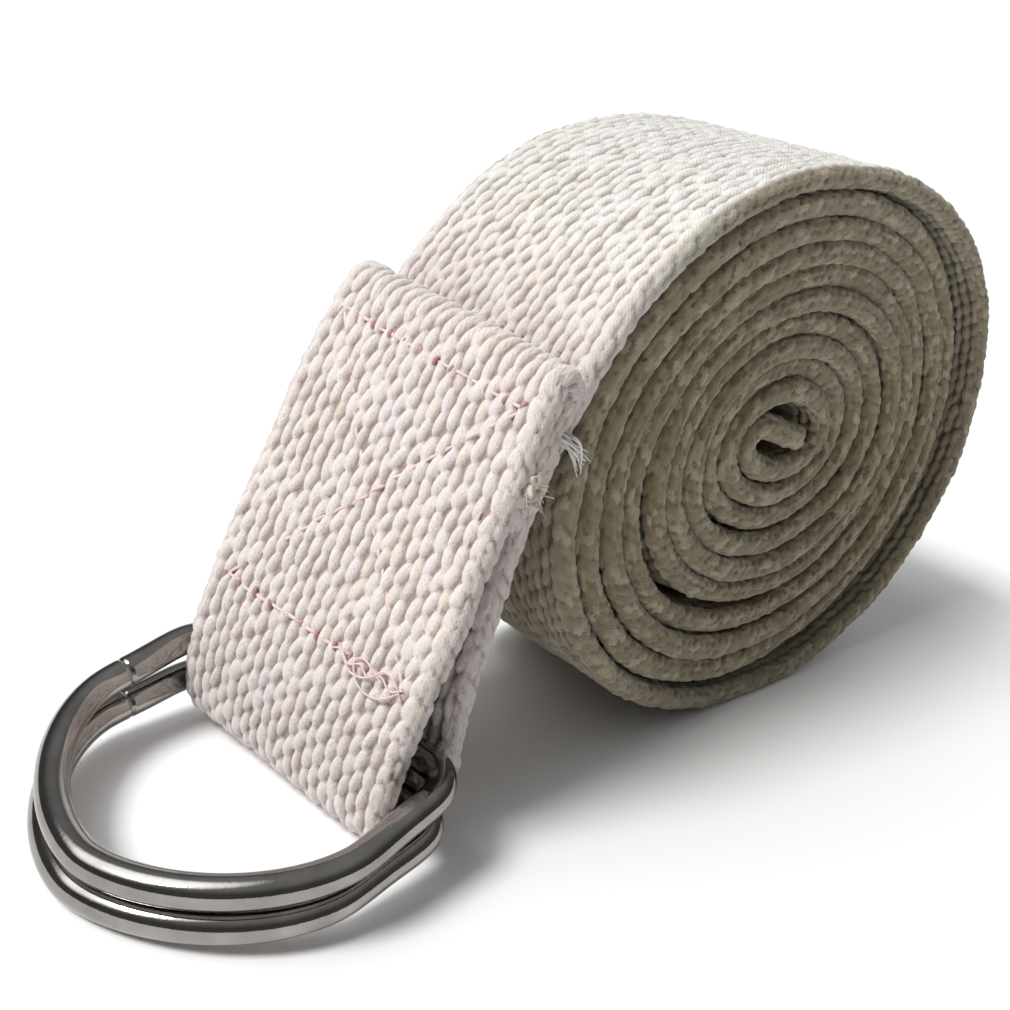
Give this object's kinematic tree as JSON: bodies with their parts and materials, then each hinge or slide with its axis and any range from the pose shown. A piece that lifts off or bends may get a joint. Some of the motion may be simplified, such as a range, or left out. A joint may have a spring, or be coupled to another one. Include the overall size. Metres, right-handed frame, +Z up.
{
  "type": "stretching strap",
  "caption": "Cotton webbing strap rolled into a coil, its outer turn hinged to unroll down to a sewn tab that holds free-swinging D-rings.",
  "frame": {"origin": "middle of the flat foot that the roll rests on", "axes": "+Z up, +Y along the axis of the roll, -X toward the D-rings"},
  "size_m": [0.1661, 0.0486, 0.0872],
  "materials": {
    "cotton_webbing": "natural undyed cotton, coarse plain weave",
    "sewing_thread": "pale pink sewing thread",
    "nickel_plate": "polished nickel plate"
  },
  "bodies": {
    "roll": {"webbing_roll": "cotton_webbing"},
    "turn_01": {"webbing_turn_01": "cotton_webbing"},
    "turn_02": {"webbing_turn_02": "cotton_webbing"},
    "turn_03": {"webbing_turn_03": "cotton_webbing"},
    "turn_04": {"webbing_turn_04": "cotton_webbing"},
    "turn_05": {"webbing_turn_05": "cotton_webbing"},
    "turn_06": {"webbing_turn_06": "cotton_webbing"},
    "turn_07": {"webbing_turn_07": "cotton_webbing"},
    "turn_08": {"webbing_turn_08": "cotton_webbing"},
    "turn_09": {"webbing_turn_09": "cotton_webbing"},
    "turn_10": {"webbing_turn_10": "cotton_webbing"},
    "turn_11": {"webbing_turn_11": "cotton_webbing"},
    "turn_12": {"webbing_turn_12": "cotton_webbing"},
    "turn_13": {"webbing_turn_13": "cotton_webbing"},
    "turn_14": {"webbing_turn_14": "cotton_webbing"},
    "turn_15": {"webbing_turn_15": "cotton_webbing"},
    "tab": {"webbing_tab": "cotton_webbing", "seam_needle_thread": "sewing_thread", "seam_bobbin_thread": "sewing_thread"},
    "lower_ring": {"d_ring_lower": "nickel_plate"},
    "upper_ring": {"d_ring_upper": "nickel_plate"}
  },
  "joints": [
    {"name": "unroll_01", "type": "hinge", "parent": "roll", "child": "turn_01", "pos_m": [0.00821, 0, 0.00007], "axis": [0, 1, 0], "range_deg": [0, 10.39]},
    {"name": "unroll_02", "type": "hinge", "parent": "turn_01", "child": "turn_02", "pos_m": [0.02152, 0, 0.00295], "axis": [0, 1, 0], "range_deg": [0, 10.75]},
    {"name": "unroll_03", "type": "hinge", "parent": "turn_02", "child": "turn_03", "pos_m": [0.03394, 0, 0.0087], "axis": [0, 1, 0], "range_deg": [0, 13]},
    {"name": "unroll_04", "type": "hinge", "parent": "turn_03", "child": "turn_04", "pos_m": [0.04447, 0, 0.01755], "axis": [0, 1, 0], "range_deg": [0, 16.28]},
    {"name": "unroll_05", "type": "hinge", "parent": "turn_04", "child": "turn_05", "pos_m": [0.05157, 0, 0.02943], "axis": [0, 1, 0], "range_deg": [0, 19.37]},
    {"name": "unroll_06", "type": "hinge", "parent": "turn_05", "child": "turn_06", "pos_m": [0.05355, 0, 0.04317], "axis": [0, 1, 0], "range_deg": [0, 19.71]},
    {"name": "unroll_07", "type": "hinge", "parent": "turn_06", "child": "turn_07", "pos_m": [0.04998, 0, 0.05656], "axis": [0, 1, 0], "range_deg": [0, 16.92]},
    {"name": "unroll_08", "type": "hinge", "parent": "turn_07", "child": "turn_08", "pos_m": [0.04212, 0, 0.06787], "axis": [0, 1, 0], "range_deg": [0, 13.54]},
    {"name": "unroll_09", "type": "hinge", "parent": "turn_08", "child": "turn_09", "pos_m": [0.0315, 0, 0.07658], "axis": [0, 1, 0], "range_deg": [0, 11.08]},
    {"name": "unroll_10", "type": "hinge", "parent": "turn_09", "child": "turn_10", "pos_m": [0.01928, 0, 0.08263], "axis": [0, 1, 0], "range_deg": [0, 9.66]},
    {"name": "unroll_11", "type": "hinge", "parent": "turn_10", "child": "turn_11", "pos_m": [0.00612, 0, 0.08617], "axis": [0, 1, 0], "range_deg": [0, 9.07]},
    {"name": "unroll_12", "type": "hinge", "parent": "turn_11", "child": "turn_12", "pos_m": [-0.00745, 0, 0.08723], "axis": [0, 1, 0], "range_deg": [0, 6.83]},
    {"name": "unroll_13", "type": "hinge", "parent": "turn_12", "child": "turn_13", "pos_m": [-0.02098, 0, 0.08639], "axis": [0, 1, 0], "range_deg": [0, 9.44]},
    {"name": "unroll_14", "type": "hinge", "parent": "turn_13", "child": "turn_14", "pos_m": [-0.03415, 0, 0.08297], "axis": [0, 1, 0], "range_deg": [0, 12.07]},
    {"name": "unroll_15", "type": "hinge", "parent": "turn_14", "child": "turn_15", "pos_m": [-0.04622, 0, 0.07638], "axis": [0, 1, 0], "range_deg": [0, 14.7]},
    {"name": "unroll_tab", "type": "hinge", "parent": "turn_15", "child": "tab", "pos_m": [-0.05581, 0, 0.06648], "axis": [0, 1, 0], "range_deg": [0, 12.82]},
    {"name": "lower_ring_swing", "type": "hinge", "parent": "tab", "child": "lower_ring", "pos_m": [-0.0762, 0, 0.0066], "axis": [0, 1, 0], "range_deg": [-150, 0]},
    {"name": "upper_ring_swing", "type": "hinge", "parent": "tab", "child": "upper_ring", "pos_m": [-0.0762, 0, 0.0126], "axis": [0, 1, 0], "range_deg": [0, 85]}
  ],
  "couplings": [
    {"joint": "unroll_02", "follows": "unroll_01", "ratio": 1.0295},
    {"joint": "unroll_03", "follows": "unroll_01", "ratio": 1.2463},
    {"joint": "unroll_04", "follows": "unroll_01", "ratio": 1.5622},
    {"joint": "unroll_05", "follows": "unroll_01", "ratio": 1.8592},
    {"joint": "unroll_06", "follows": "unroll_01", "ratio": 1.892},
    {"joint": "unroll_07", "follows": "unroll_01", "ratio": 1.6236},
    {"joint": "unroll_08", "follows": "unroll_01", "ratio": 1.2987},
    {"joint": "unroll_09", "follows": "unroll_01", "ratio": 1.0614},
    {"joint": "unroll_10", "follows": "unroll_01", "ratio": 0.9247},
    {"joint": "unroll_11", "follows": "unroll_01", "ratio": 0.8682},
    {"joint": "unroll_12", "follows": "unroll_01", "ratio": 0.6522},
    {"joint": "unroll_13", "follows": "unroll_01", "ratio": 0.9034},
    {"joint": "unroll_14", "follows": "unroll_01", "ratio": 1.1571},
    {"joint": "unroll_15", "follows": "unroll_01", "ratio": 1.41},
    {"joint": "unroll_tab", "follows": "unroll_01", "ratio": 1.2291}
  ]
}
